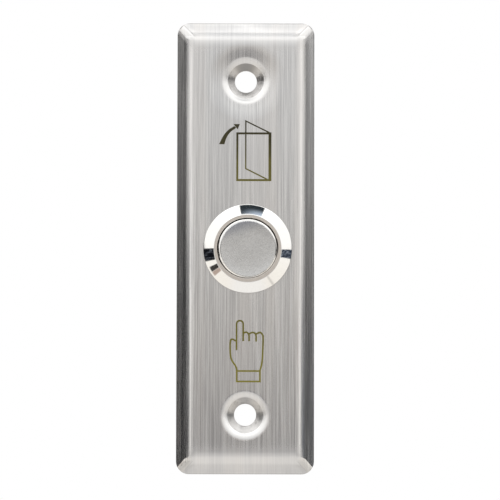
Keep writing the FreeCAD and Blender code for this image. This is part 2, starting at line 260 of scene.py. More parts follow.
# the room between the screens, far out on both sides, and lighter higher up
room = {
    "height": (-0.24, 0.34, 0.07),
    "lightAbove": (0.0, 0.13),
    "stripeScale": (24, 4),
    "stripes": (0.45, 0.65),
    "stripeShare": 0.45,
    "left": {"from": (0.88, 0.92), "low": tone(26, 25, 26), "high": tone(60, 60, 60)},
    "right": {"from": (0.89, 0.93), "low": tone(52, 52, 52), "high": tone(138, 138, 138)},
}

# sharp dark gaps to the left and right at eye level, with glints inside, and one above the lens
gaps = {
    "across": (0.77, 0.93, 0.02),
    "glint": tone(160, 168, 180),
    "left": {
        "height": (-0.232, 0.037, 0.006),
        "dark": tone(14, 15, 20),
        "glintScale": (7, 60),
        "glints": (0.57, 0.65),
        "glintShare": 0.55,
    },
    "right": {
        "height": (-0.177, 0.015, 0.006),
        "dark": tone(34, 42, 56),
        "glintScale": (46, 12),
        "glints": (0.5, 0.62),
        "glintShare": 0.7,
    },
    "topFront": (0.37, 0.55, 0.014),
    "topSlant": (-0.19, 0.41, 0.02),
    "topHeight": (0.3, 0.4),
    "top": tone(34, 40, 44),
    "topPale": tone(158, 170, 186),
    "paleFront": (0.44, 0.54),
    "paleSlant": (0.2, 0.95),
}

# a stand at the lower left, dark and brown, and the edge of a screen at the lower right
stand = {
    "front": (0.466, 0.605, 0.008),
    "left": (0.5, 0.55),
    "down": (0.2, 0.25),
    "darkSlant": (0.44, 0.605, 0.01),
    "brownSlant": (0.615, 0.78, 0.015),
    "dark": tone(58, 56, 54),
    "brown": tone(176, 158, 148),
    "edge": tone(178, 174, 170),
    "edgeRight": (0.3, 0.35),
    "edgeSlant": (-1.42, -1.26, 0.08),
    "edgeShare": 0.6,
}


def makeWorld():
    world = bpy.data.worlds.new("studio")
    bpy.context.scene.world = world
    world.use_nodes = True
    graph = Graph(world.node_tree)
    x, y, z = graph.split(graph.add("ShaderNodeTexCoord", output=0))
    front, left, down = -y, -x, -z
    height = z * 0.5 + 0.5
    ramps = {}
    for name in ("screens", "lens"):
        ramps[name] = graph.ramp(height, [(place / 2 + 0.5, colour) for place, colour in studio[name]])
    opening = (1 - graph.rise(abs(x), *studio["lensAcross"])) * graph.rise(front, *studio["lensFront"])
    colour = graph.mix(opening, ramps["screens"], ramps["lens"])
    # the room
    acrossScale, upScale = room["stripeScale"]
    stripes = graph.noise(graph.joined(y * acrossScale, 0.0, z * upScale), 2.0)
    higher = graph.rise(z, *room["lightAbove"])
    higher = higher + (1 - higher) * graph.rise(stripes, *room["stripes"]) * room["stripeShare"]
    for outward, side in ((left, room["left"]), (x, room["right"])):
        share = graph.band(z, *room["height"]) * graph.rise(outward, *side["from"])
        colour = graph.mix(share, colour, graph.mix(higher, side["low"], side["high"]))
    # the gaps at eye level: level glints in the left one, slanting ones in the right
    for outward, along, rising, gap in ((left, y, z, gaps["left"]), (x, z - y, z + y, gaps["right"])):
        acrossScale, upScale = gap["glintScale"]
        glints = graph.noise(graph.joined(along * acrossScale, 0.0, rising * upScale), 2.0)
        glints = graph.rise(glints, *gap["glints"]) * gap["glintShare"]
        opening = graph.band(outward, *gaps["across"]) * graph.band(z, *gap["height"])
        colour = graph.mix(opening, colour, graph.mix(glints, gap["dark"], gaps["glint"]))
    # the gap above the lens, with something pale inside it
    slant = x / (z + studio["tiny"])
    opening = graph.band(front, *gaps["topFront"]) * graph.band(slant, *gaps["topSlant"])
    pale = graph.rise(front, *gaps["paleFront"]) * graph.rise(slant + front, *gaps["paleSlant"])
    inside = graph.mix(pale, gaps["top"], gaps["topPale"])
    colour = graph.mix(opening * graph.rise(z, *gaps["topHeight"]), colour, inside)
    # the stand and the screen's edge
    slant = z / (x + studio["tiny"])
    place = graph.band(front, *stand["front"])
    place = place * graph.rise(left, *stand["left"]) * graph.rise(down, *stand["down"])
    colour = graph.mix(place * graph.band(slant, *stand["darkSlant"]), colour, stand["dark"])
    colour = graph.mix(place * graph.band(slant, *stand["brownSlant"]), colour, stand["brown"])
    edge = graph.rise(x, *stand["edgeRight"]) * graph.band(slant, *stand["edgeSlant"])
    colour = graph.mix(edge * stand["edgeShare"], colour, stand["edge"])
    # a stronger lamp behind the screens above the lens
    strength = (1 + graph.rise(z, *studio["lampHeight"]) * studio["lampAbove"]) * studio["level"]
    seen = graph.add("ShaderNodeBackground", None, {"Color": (1, 1, 1, 1), "Strength": 1.0})
    light = graph.add("ShaderNodeBackground", None, {"Color": colour, "Strength": strength})
    camera = graph.add("ShaderNodeLightPath", None, None, 0)
    both = graph.add("ShaderNodeMixShader", None, [camera, light, seen])
    graph.add("ShaderNodeOutputWorld", None, {"Surface": both})


# floor, below the part: matt close to it, and pure white to the camera further off
floorLook = {
    "height": -62.0,
    "size": 1400.0,
    "colour": tone(236, 236, 234),
    "fade": (45.0, 95.0),
}


def makeFloor():
    half = floorLook["size"] / 2 * mm
    low = floorLook["height"] * mm
    mesh = bpy.data.meshes.new("floor")
    corners = [(-half, -half, low), (half, -half, low), (half, half, low), (-half, half, low)]
    mesh.from_pydata(corners, [], [(0, 1, 2, 3)])
    floor = bpy.data.objects.new("floor", mesh)
    bpy.context.scene.collection.objects.link(floor)
    made = bpy.data.materials.new("floor")
    made.use_nodes = True
    graph = Graph(made.node_tree)
    x, y, _ = graph.split(graph.place())
    away = (x ** 2 + y ** 2).root()
    fade = graph.rise(away, *floorLook["fade"])
    camera = graph.add("ShaderNodeLightPath", None, None, 0)
    matt = graph.add("ShaderNodeBsdfDiffuse", None, {"Color": floorLook["colour"]})
    white = graph.add("ShaderNodeEmission", None, {"Color": (1, 1, 1, 1), "Strength": 1.0})
    mixed = graph.add("ShaderNodeMixShader", None, [fade * camera, matt, white])
    graph.add("ShaderNodeOutputMaterial", None, {"Surface": mixed})
    mesh.materials.append(made)
    floor.visible_glossy = False


# plate: stainless sheet, brushed up and down before it was pressed. Places are in millimetres, as
# from and to, and a third number is how soft the edges are
plateFinish = {
    "light": tone(236, 235, 234),
    "dark": tone(205, 204, 204),
    "warm": tone(223, 218, 214),
    "back": tone(205, 204, 201),
    # the next two colour painted shade, light and dark; the darker also tints the smudges in the
    # countersinks
    "paleShade": tone(176, 175, 173),
    "shadow": tone(140, 138, 136),
    "machined": tone(194, 192, 190),
    # the colour of painted highlights
    "highlight": tone(254, 253, 252),
    "behind": (0.05, 0.3),
    "halves": (-10, 10),
    # the brushing: fine lines, wider streaks and broad bands, each across, through and along
    "lineScale": (5.2, 0.2, 0.075),
    "streakScale": (2.2, 0.1, 0.02),
    "bandScale": (0.28, 0.1, 0.012),
    "lineShade": 2.4,
    "streakShade": 0.7,
    "bandShade": 0.6,
    "warmBands": (0.45, 0.75),
    "warmShare": 0.35,
    "lineHeight": 0.0038,
    "streakHeight": 0.0013,
    "calm": (12, 27, 5),
    "calmShare": 0.35,
    "roughness": 0.245,
    "lineRoughness": 0.10,
    "streakRoughness": 0.16,
    # the ends, which the press rubbed smooth
    "endsAlong": (39, 43),
    "endsAcross": (11.0, 12.2),
    "endsSmooth": 0.7,
    "endsRoughness": 0.12,
    "backRoughness": 0.06,
    # painted shade along the rim and in the top crease, and a painted highlight along the top lip
    "rimShade": (-0.96, -0.82),
    "rimShare": 0.6,
    "topRimShade": (42, 44),
    "topRimShare": 0.35,
    "topLipHighlight": (41.7, 42.8, 0.5),
    "topLipShare": 0.25,
    "creaseShade": (43.1, 43.4, 0.2),
    "creaseAcross": (9.3, 10.3),
    "creaseEnd": (10.6, 10.9),
    "creaseShare": (0.2, 0.25),
    # the bends: from, most, to, and the most slope
    "sideEase": (9.9, 11.4, 12.8, 0.28),
    "endEase": (40.9, 42.7, 44.3, 0.17),
    # the corners cut the bends short: where, and by how much
    "sideCut": (43.2, 46.2),
    "endCut": (10.2, 13.2),
    "cut": 3,
    # the corners: the line of the mitre, with painted shade along it, and the facet that crosses it,
    # with painted highlight at the upper corners and painted shade at the lower ones
    "mitreSlope": 0.92,
    "mitreStart": 29.2,
    "mitreShade": (-0.12, 0.12, 0.12),
    "mitreAlong": (43.1, 43.4),
    "mitreShare": 0.5,
    "facetTurn": (0.64, 0.77),          # its direction, up and aside
    "facet": (18.0, 18.4),
    "facetMitre": (0.0, 0.3),
    "facetAlong": (42.4, 43.9),
    "facetHighlight": 0.6,
    "facetShade": 0.4,
    "cornerAcross": (11.4, 14),
    "cornerAlong": (43.4, 46),
    "cornerLine": (0.90, 0.97),
    "cornerShare": 0.8,
    "cornerSoft": ((17.2, 18.0), (18.2, 18.8)),
    "cornerSoftAcross": (11.8, 12.3),
    "cornerRoughness": 0.25,
    # the fixing holes: the countersink, the lip that rises round it, and the upper one's dish
    "holeZ": 34.0,
    "sink": (3.56, 3.64),
    "sinkShare": 0.8,
    "sinkEase": (1.8, 3.95, 0.18),      # the last is how much flatter the sink looks
    "sinkRoughness": 0.06,
    "sinkShadow": (0.6, 0.97),
    "sinkShadowShare": 0.8,
    "smudgeScale": 1.1,
    "smudges": (0.48, 0.68),
    "smudgeShare": 0.4,
    "ringScale": 9,
    "ringHeight": 0.002,
    "lip": (4.3, 5.3),
    "lipSmooth": 0.8,
    "lipRoughness": 0.1,
    "lipEase": (4.3, 5.2, 0.035),       # the last is the height of the lower lip's longer bend
    # painted highlight on the lower half of each lip, and painted shade on the upper hole's inner lip
    "lipLower": (-0.2, 0.25),
    "lipShare": 0.85,
    "lipFoot": (0.8, 1.0),
    "lipFootShare": 0.3,
    "innerLipShade": (4.0, 4.5),
    "innerLipLower": (0.55, 0.95),
    "innerLipShare": 0.35,
    "dish": (4.4, 6.2, 8.4),            # from, deepest slope, to
    "dishTilt": 0.13,
}


def easedBend(graph, away, ease):
    # height that eases a bend further into the face: its slope rises, and falls again
    start, most, end, slope = ease
    first = graph.slope(away, start, most) ** 2 * ((most - start) * slope / 2)
    second = (1 - (1 - graph.slope(away, most, end)) ** 2) * ((end - most) * slope / 2)
    return -first - second


def paintPlate(graph):
    look = plateFinish
    place = graph.place()
    x, y, z = graph.split(place)
    aside, along = abs(x), abs(z)
    _, facing, _ = graph.split(graph.add("ShaderNodeTexCoord", output=1))
    behind = graph.rise(facing, *look["behind"])
    infront = 1 - behind
    upper = graph.rise(z, *look["halves"])
    lower = 1 - upper
    # distances from the nearer hole, the mitre, and along the corner's facet
    aboveHole = (along - look["holeZ"]) * (upper * 2 - 1)
    fromHole = (x ** 2 + aboveHole ** 2).root()
    overHole = aboveHole / fromHole
    underHole = -overHole
    overMitre = aside - along * look["mitreSlope"] + look["mitreStart"]
    facetUp, facetAside = look["facetTurn"]
    beside = along * facetUp - aside * facetAside
    inward = aside - graph.slope(along, *look["sideCut"]) * look["cut"]
    # the end bevels were rubbed smoother by the press
    ends = graph.rise(along, *look["endsAlong"]) * infront
    ends = ends * (1 - graph.rise(inward, *look["endsAcross"]))
    sink = 1 - graph.rise(fromHole, *look["sink"])
    polished = (1 - graph.rise(fromHole, *look["lip"])) * infront
    # the brushing is lighter between the upper hole and the switch
    calm = graph.band(z, *look["calm"]) * look["calmShare"]
    brushed = (1 - polished * look["lipSmooth"]) * (1 - ends * look["endsSmooth"]) * (1 - calm)
    lines = graph.noise(graph.scaled(place, look["lineScale"]), 2.0, 0.6)
    streaks = graph.noise(graph.scaled(place, look["streakScale"]), 2.0, 0.5)
    bands = graph.noise(graph.scaled(place, look["bandScale"]), 1.0, 0.5)
    shade = (lines - 0.5) * look["lineShade"] + (streaks - 0.5) * look["streakShade"]
    shade = graph.rise(0.5 + shade * brushed + (bands - 0.5) * look["bandShade"], 0.0, 1.0)
    colour = graph.mix(shade, look["dark"], look["light"])
    colour = graph.mix(graph.rise(bands, *look["warmBands"]) * look["warmShare"], colour, look["warm"])
    # a faint dull line of painted shade where the top bevel begins
    least, more = look["creaseShare"]
    creaseShade = graph.band(z, *look["creaseShade"]) * (graph.rise(aside, *look["creaseAcross"]) * more + least)
    colour = graph.mix(creaseShade * (1 - graph.rise(aside, *look["creaseEnd"])), colour, look["paleShade"])
    # painted shade: a dull line along the mitre of each corner
    mitreShade = graph.band(overMitre, *look["mitreShade"]) * graph.rise(along, *look["mitreAlong"])
    colour = graph.mix(mitreShade * look["mitreShare"], colour, look["paleShade"])
    # painted shade along the plate's outer edge, darker along its top edge
    rimShade = graph.rise(y, *look["rimShade"])
    colour = graph.mix(rimShade * look["rimShare"], colour, look["paleShade"])
    topRimShade = rimShade * graph.rise(z, *look["topRimShade"])
    colour = graph.mix(topRimShade * look["topRimShare"], colour, look["shadow"])
    colour = graph.mix(behind, colour, look["back"])
    # painted highlight on the lips, most of all on their lower half, on the facets of the upper
    # corners and along the top lip
    foot = graph.rise(underHole, *look["lipFoot"]) * look["lipFootShare"]
    lowerLipHighlight = polished * (1 - graph.rise(overHole, *look["lipLower"])) * (look["lipShare"] - foot)
    facet = graph.rise(beside, *look["facet"]) * graph.rise(overMitre, *look["facetMitre"])
    facet = facet * graph.rise(along, *look["facetAlong"]) * infront
    highlight = lowerLipHighlight.atLeast(facet * upper * look["facetHighlight"])
    highlight = highlight + graph.band(z, *look["topLipHighlight"]) * infront * look["topLipShare"]
    colour = graph.mix(highlight, colour, look["highlight"])
    # painted shade on the lower part of the upper hole's inner lip
    innerLipShade = graph.rise(underHole, *look["innerLipLower"]) * upper * infront
    innerLipShade = innerLipShade * (1 - graph.rise(fromHole, *look["innerLipShade"]))
    colour = graph.mix(innerLipShade * look["innerLipShare"], colour, look["paleShade"])
    # painted shade on the facets of the lower corners
    colour = graph.mix(facet * lower * look["facetShade"], colour, look["paleShade"])
    # a thin dark line of painted shade follows the round of each upper corner
    fromAside = graph.slope(aside, *look["cornerAcross"])
    fromCorner = (fromAside ** 2 + graph.slope(z, *look["cornerAlong"]) ** 2).root()
    outline = graph.rise(fromCorner, *look["cornerLine"]) * facet * upper
    colour = graph.mix(outline * look["cornerShare"], colour, look["shadow"])
    # the countersinks are cut metal and smudged, with painted shade at the top of the upper one
    colour = graph.mix(sink * look["sinkShare"], colour, look["machined"])
    above = graph.rise(z, 0, 1)
    shadeAndSmudges = graph.rise(overHole, *look["sinkShadow"]) * above * look["sinkShadowShare"]
    smudges = graph.grains(place, look["smudgeScale"], 3.0, 0.6)
    shadeAndSmudges = shadeAndSmudges.atLeast(graph.rise(smudges, *look["smudges"]) * look["smudgeShare"])
    colour = graph.mix(shadeAndSmudges * sink, colour, look["shadow"])
    # turned rings in the countersinks, and a shallow dish that the press left round the upper hole
    rings = graph.noise(graph.joined(fromHole * look["ringScale"], 0.0, y), 1.0)
    start, inner, outer = look["dish"]
    dish = graph.slope(fromHole, outer, inner) ** 2 * ((outer - inner) / 2)
    dish = (dish + graph.slope(fromHole, inner, start) * (inner - start)) * upper
    start, end, ease = look["sinkEase"]
    sunk = graph.slope(fromHole, start, end) * ((end - start) * ease)
    start, end, ease = look["lipEase"]
    sunk = sunk - graph.rise(fromHole, start, end) * lower * ease
    upward = along - graph.slope(aside, *look["endCut"]) * look["cut"]
    bends = easedBend(graph, inward, look["sideEase"]) + easedBend(graph, upward, look["endEase"])
    shape = bends - dish * look["dishTilt"] - sunk
    height = (lines * look["lineHeight"] + streaks * look["streakHeight"]) * brushed
    height = height + shape * infront + rings * sink * look["ringHeight"]
    # the side bevels are rougher beside the facets of the upper corners
    rough = (streaks - 0.5) * look["streakRoughness"] + (lines - 0.5) * look["lineRoughness"]
    softFrom, softTo = look["cornerSoft"]
    corner = graph.rise(beside, *softFrom) * (1 - graph.rise(beside, *softTo))
    corner = corner * graph.rise(aside, *look["cornerSoftAcross"]) * above
    roughness = look["roughness"] + rough * brushed + ends * look["endsRoughness"]
    roughness = roughness + corner * look["cornerRoughness"] + behind * look["backRoughness"]
    roughness = roughness + polished * look["lipRoughness"] - sink * look["sinkRoughness"]
    return {"Base Color": colour, "Roughness": roughness, "height": height}


# bezel: the barrel and its flange in millimetres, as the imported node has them
bezel = {
    "boreRadius": 6.085,
    "landWidth": 0.75,
    "flangeRadius": 8.985,
    "barrelRadius": 7.955,
    "rootRadius": 7.42,
    "rearBoreRadius": 6.585,
    "landY": -4.7,
    "flangeEdgeY": -3.5,
    "flangeBackY": -2.9,
    "threadStartY": -2.0,
    "threadEndY": 11.5,
    "stepY": -0.5,
    "edgeBreak": 0.12,
    "nearly": 0.01,             # how far from the land's own plane still counts as land
    "boreShift": (-0.05, 0.08),     # the cap sits a little low and right in the mouth of its bore
    "mouthDepth": 0.8,
    "pitch": 1.0,
    "threadFlat": 0.85,
    "threadFade": 0.5,
    "around": 160,
    "rowsPerPitch": 16,
    "sharpFrom": 35,
}


# turned and polished in front, with a satin land round the cap
bezelFinish = {
    "polished": tone(247, 246, 244),
    "polishedDark": tone(238, 237, 235),
    "polishedRings": (7, 0.0006),       # rings to a millimetre and their height; below, grains
    "specks": (2.2, 0.0008),
    "polishedRoughness": (0.03, 0.05),  # the least, and how much the specks add
    "crown": 0.05,
    "crownRadius": 7.9,
    "land": tone(227, 219, 211),
    "landDark": tone(214, 206, 197),
    "landRings": (16, 0.0015),
    "landGrain": (5, 0.0012),
    "landShade": (0.3, 0.7),
    "landRoughness": (0.30, 0.12),
    # the mouth of the bore: its dark colour is painted shade, and its light one painted light low near
    # the front
    "gap": tone(58, 55, 52),
    "gapPaintedLight": tone(236, 231, 226),
    "gapCloud": (0.6, 0.003),
    "gapSlant": 0.2,
    "gapWander": 3,
    "gapPlace": (0.5, 5.0),
    "gapDepth": (3.9, 4.5),
    "gapRoughness": (0.3, 0.2),
    "barrel": tone(222, 221, 217),
    "barrelDark": tone(206, 204, 199),
    "barrelRings": (9, 3, 0.002),       # along the barrel, outwards, and their height
    "barrelCloud": 0.5,
    "barrelRoughness": (0.18, 0.16),
}


def fromSwitch(graph, place):
    # distance from the push button's own axis
    x, _, z = graph.split(place)
    return ((x - switchX) ** 2 + (z - switchZ) ** 2).root()


def paintPolished(graph):
    place = graph.place()
    radius = fromSwitch(graph, place)
    perMm, ringHeight = bezelFinish["polishedRings"]
    rings = graph.noise(graph.joined(radius * perMm, 0.0, 0.0), 2.0)
    perMm, speckHeight = bezelFinish["specks"]
    specks = graph.grains(place, perMm)
    least, more = bezelFinish["polishedRoughness"]
    # polishing has left the cone slightly rounded
    crown = (radius - bezelFinish["crownRadius"]) ** 2 * (-bezelFinish["crown"] / 2)
    return {
        "Base Color": graph.mix(specks, bezelFinish["polishedDark"], bezelFinish["polished"]),
        "Roughness": least + specks * more,
        "height": rings * ringHeight + specks * speckHeight + crown,
    }


def paintLand(graph):
    place = graph.place()
    perMm, ringHeight = bezelFinish["landRings"]
    rings = graph.noise(graph.joined(fromSwitch(graph, place) * perMm, 0.0, 0.0), 2.0)
    perMm, grainHeight = bezelFinish["landGrain"]
    grain = graph.grains(place, perMm, 3.0, 0.6)
    shade = graph.rise(rings * 0.6 + grain * 0.4, *bezelFinish["landShade"])
    least, more = bezelFinish["landRoughness"]
    return {
        "Base Color": graph.mix(shade, bezelFinish["landDark"], bezelFinish["land"]),
        "Roughness": least + grain * more,
        "height": rings * ringHeight + grain * grainHeight,
    }


def paintGap(graph):
    # the mouth of the bore round the cap: painted shade deep in it and in its upper part, and painted
    # light near the front of its lower part
    place = graph.place()
    x, y, z = graph.split(place)
    perMm, cloudHeight = bezelFinish["gapCloud"]
    cloud = graph.grains(place, perMm, 2.0)
    down = x * bezelFinish["gapSlant"] - z + (cloud - 0.5) * bezelFinish["gapWander"]
    share = graph.rise(down, *bezelFinish["gapPlace"]) * graph.rise(-y, *bezelFinish["gapDepth"])
    least, more = bezelFinish["gapRoughness"]
    return {
        "Base Color": graph.mix(share, bezelFinish["gap"], bezelFinish["gapPaintedLight"]),
        "Roughness": least + cloud * more,
        "height": cloud * cloudHeight,
    }


def paintBarrel(graph):
    place = graph.place()
    _, y, _ = graph.split(place)
    perMm, outPerMm, ringHeight = bezelFinish["barrelRings"]
    rings = graph.noise(graph.joined(0.0, y * perMm, fromSwitch(graph, place) * outPerMm), 2.0)
    cloud = graph.grains(place, bezelFinish["barrelCloud"])
    least, more = bezelFinish["barrelRoughness"]
    return {
        "Base Color": graph.mix(cloud, bezelFinish["barrelDark"], bezelFinish["barrel"]),
        "Roughness": least + cloud * more,
        "height": rings * ringHeight,
    }


# cap: satin face with a shallow finger dish, and a polished edge
capFinish = {
    "face": tone(236, 235, 233),
    "faceDark": tone(202, 201, 200),
    # a darker, bluish painted shade towards the top of the face
    "faceBlueShade": tone(172, 175, 184),
    "blueSlant": (0.93, 0.3),
    "blueFrom": (2.4, 5.4),
    "blueShare": 0.8,
    "edge": tone(246, 245, 243),
    "edgeRadius": (5.53, 5.63),
    "edgeY": (-4.4, -4.2),
    "edgeShift": 0.1,
    "rollRadius": (5.42, 5.85),
    "rollDepth": 0.05,
    "dishDepth": 0.155,
    "dishRadius": 5.6,
    "strokeTurn": 35.0,
    "strokeScale": (0.9, 6.0),
    "strokeHeight": 0.008,
    "grainScale": 8.5,
    "grainHeight": 0.007,
    "cloudScale": 0.35,
    "shade": (0.36, 0.64),
    "roughness": 0.27,
    "grainRoughness": 0.16,
    "edgeSmooth": 0.17,
}


def paintCap(graph):
    look = capFinish
    place = graph.place()
    x, y, z = graph.split(place)
    radius = fromSwitch(graph, place)
    grain = graph.grains(place, look["grainScale"], 3.0, 0.6)
    cloud = graph.grains(place, look["cloudScale"], 2.0)
    # faint strokes of the finishing pad, at a slant
    turn = math.radians(look["strokeTurn"])
    along = (x * math.cos(turn) + z * math.sin(turn)) * look["strokeScale"][0]
    across = (z * math.cos(turn) - x * math.sin(turn)) * look["strokeScale"][1]
    strokes = graph.noise(graph.joined(along, 0.0, across), 3.0, 0.6)
    # the polished edge is a little wider at the upper left
    edgeRadius = radius + (z - x) / radius * look["edgeShift"]
    edge = graph.rise(edgeRadius, *look["edgeRadius"]) * (1 - graph.rise(y, *look["edgeY"]))
    shade = graph.rise(grain * 0.6 + strokes * 0.3 + cloud * 0.1, *look["shade"])
    colour = graph.mix(shade, look["faceDark"], look["face"])
    # painted shade: a darker, bluish reflection towards the top, a little to the left
    up, leftward = look["blueSlant"]
    blueShade = graph.rise((z - switchZ) * up - (x - switchX) * leftward, *look["blueFrom"])
    colour = graph.mix(blueShade * look["blueShare"], colour, look["faceBlueShade"])
    colour = graph.mix(edge, colour, look["edge"])
    dish = (radius / look["dishRadius"]) ** 4 * look["dishDepth"]
    roll = graph.rise(edgeRadius, *look["rollRadius"]) * -look["rollDepth"]
    face = grain * look["grainHeight"] + strokes * look["strokeHeight"] + dish
    roughness = look["roughness"] + (grain - 0.5) * look["grainRoughness"]
    return {
        "Base Color": colour,
        "Roughness": roughness - edge * look["edgeSmooth"],
        "height": face * (1 - edge) + roll,
    }


# small metal pieces behind the plate and inside the switch: light and dark tone, least and most
# roughness, and the grain's height
plainMetals = {
    "nut": (tone(216, 213, 205), tone(200, 197, 188), 0.14, 0.28, 0.002),
    "washer": (tone(208, 209, 209), tone(186, 188, 190), 0.28, 0.5, 0.006),
    "spring": (tone(206, 207, 210), tone(178, 180, 184), 0.18, 0.4, 0.003),
    "brass": (tone(232, 206, 140), tone(214, 182, 112), 0.18, 0.36, 0.004),
    "silver": (tone(242, 240, 236), tone(226, 224, 220), 0.18, 0.32, 0.003),
    "screw": (tone(226, 224, 218), tone(204, 201, 195), 0.15, 0.34, 0.004),
}


# rubber and moulded plastics, in the same order
softStuffs = {
    "rubber": (tone(38, 38, 39), tone(26, 26, 27), 0.55, 0.75, 0.012),
    "black": (tone(42, 42, 45), tone(30, 30, 33), 0.38, 0.55, 0.008),
    "natural": (tone(226, 222, 208), tone(214, 209, 194), 0.32, 0.48, 0.006),
}
plainGrain = {"grainScale": 6, "cloudScale": 0.7, "shade": (0.3, 0.7), "rough": (0.3, 0.75)}


def paintPlain(light, dark, smooth, rough, depth):
    def paint(graph):
        place = graph.place()
        grain = graph.grains(place, plainGrain["grainScale"], 3.0, 0.6)
        cloud = graph.grains(place, plainGrain["cloudScale"])
        shade = graph.rise(cloud * 0.6 + grain * 0.4, *plainGrain["shade"])
        rubbed = graph.rise(cloud * 0.5 + grain * 0.5, *plainGrain["rough"])
        return {
            "Base Color": graph.mix(shade, dark, light),
            "Roughness": smooth + rubbed * (rough - smooth),
            "height": grain * depth,
        }
    return paint


def makeMaterials():
    metal = {"Metallic": 1.0}
    made = {
        "plate": material("plate_brushed", {"Metallic": 1.0, "Anisotropic": 0.7}, paintPlate),
        "polished": material("bezel_polished", metal, paintPolished),
        "land": material("bezel_satin", metal, paintLand),
        "barrel": material("bezel_barrel", metal, paintBarrel),
        "gap": material("bezel_gap", metal, paintGap),
        "cap": material("cap_satin", metal, paintCap),
    }
    for name, values in plainMetals.items():
        made[name] = material(name + "_metal", metal, paintPlain(*values))
    for name, values in softStuffs.items():
        made[name] = material(name + "_moulded", {"Metallic": 0.0}, paintPlain(*values))
    return made


# etched marks: laser darkened lines on the brushed face
markFinish = {
    "dark": tone(50, 46, 22),
    "olive": tone(98, 92, 36),
    "hand": tone(122, 114, 40),
    "handDark": tone(100, 94, 30),
    "cloudScale": (1.1, 1.1, 0.8),
    "lineScale": (6.0, 6.0, 0.3),
    "wander": 9.0,              # how far, in millimetres, the change of colour wanders
    "oliveLines": (0.5, 0.75),
    "oliveShare": 0.25,
    "roughness": (0.42, 0.2),
    "lineHeight": 0.002,
    "metallic": 0.35,
}


def paintMark(first, second, low, high):
    # two oxide colours, from the low to the high end of the mark
    def paint(graph):
        place = graph.place()
        _, _, z = graph.split(place)
        cloud = graph.noise(graph.scaled(place, markFinish["cloudScale"]), 3.0, 0.6)
        lines = graph.noise(graph.scaled(place, markFinish["lineScale"]), 2.0)
        share = graph.rise(z + (cloud - 0.5) * markFinish["wander"], low, high)
        olive = graph.rise(lines, *markFinish["oliveLines"]) * markFinish["oliveShare"]
        least, more = markFinish["roughness"]
        return {
            "Base Color": graph.mix(olive, graph.mix(share, first, second), markFinish["olive"]),
            "Roughness": least + cloud * more,
            "height": lines * markFinish["lineHeight"],
        }
    return paint


makeCamera()
makeWorld()
makeFloor()
finishes = makeMaterials()
print("camera, studio and materials made")

nodeFinish = {
    "faceplate": "plate",
    "flange_gasket": "rubber",
    "lock_washer": "washer",
    "hex_nut": "nut",
    "button_cap": "cap",
    "cap_seal": "rubber",
    "plunger": "natural",
    "return_spring": "spring",
    "contact_spring": "spring",
    "contact_bridge": "brass",
    "bridge_clip": "spring",
    "contact_base": "black",
    "switch_housing": "barrel",
}
for side in ("left", "right"):
    nodeFinish["bridge_tip_" + side] = "silver"
    nodeFinish["terminal_" + side] = "brass"
    nodeFinish["clamp_washer_" + side] = "screw"
    nodeFinish["terminal_screw_" + side] = "screw"
for name, finish in nodeFinish.items():
    for holder in nodes[name].material_slots:
        holder.material = finishes[finish]


def addPiece(name, mesh, body, slot, *replaced):
    made = bpy.data.objects.new(name, mesh)
    bpy.context.scene.collection.objects.link(made)
    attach(made, body)
    if replaced:
        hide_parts(*replaced)
    return made


def ringFaces(rings, around, closed):
    # quads between rings of as many points each; closed joins the last ring to the first
    faces = []
    for ring in range(rings if closed else rings - 1):
        following = (ring + 1) % rings
        for k in range(around):
            after = (k + 1) % around
            here, there = ring * around, following * around
            faces.append((here + k, there + k, there + after, here + after))
    return faces


def roundedProfile(corners, steps=4, guard=0.05):
    # corners are (radius, y, rounding); a rounded one becomes an arc between two guard points
    points = []
    for k, (radius, y, rounding) in enumerate(corners):
        here = Vector((radius, y))
        if not rounding:
            points.append(here)
            continue
        toBefore = (Vector(corners[k - 1][:2]) - here).normalized()
        toAfter = (Vector(corners[(k + 1) % len(corners)][:2]) - here).normalized()
        half = toBefore.angle(toAfter) / 2
        reach = rounding / math.tan(half)
        centre = here + (toBefore + toAfter).normalized() * rounding / math.sin(half)
        start = here + toBefore * reach - centre
        end = here + toAfter * reach - centre
        sweep = start.angle_signed(end)
        points.append(here + toBefore * (reach + guard))
        for step in range(steps + 1):
            points.append(centre + Matrix.Rotation(-sweep * step / steps, 2) @ start)
        points.append(here + toAfter * (reach + guard))
    return points


def threadRadius(y, angle):
    # rounded thread form, which fades out at both ends of the barrel
    turn = y / bezel["pitch"] - angle / (2 * math.pi)
    wave = 0.5 + bezel["threadFlat"] * math.cos(2 * math.pi * turn)
    wave = min(max(wave, 0.0), 1.0)
    fade = bezel["threadFade"]
    crest = bezel["barrelRadius"] - max(0.0, bezel["threadStartY"] + fade - y)
    crest -= max(0.0, y - bezel["threadEndY"] + fade)
    return min(bezel["rootRadius"] + (bezel["barrelRadius"] - bezel["rootRadius"]) * wave, crest)


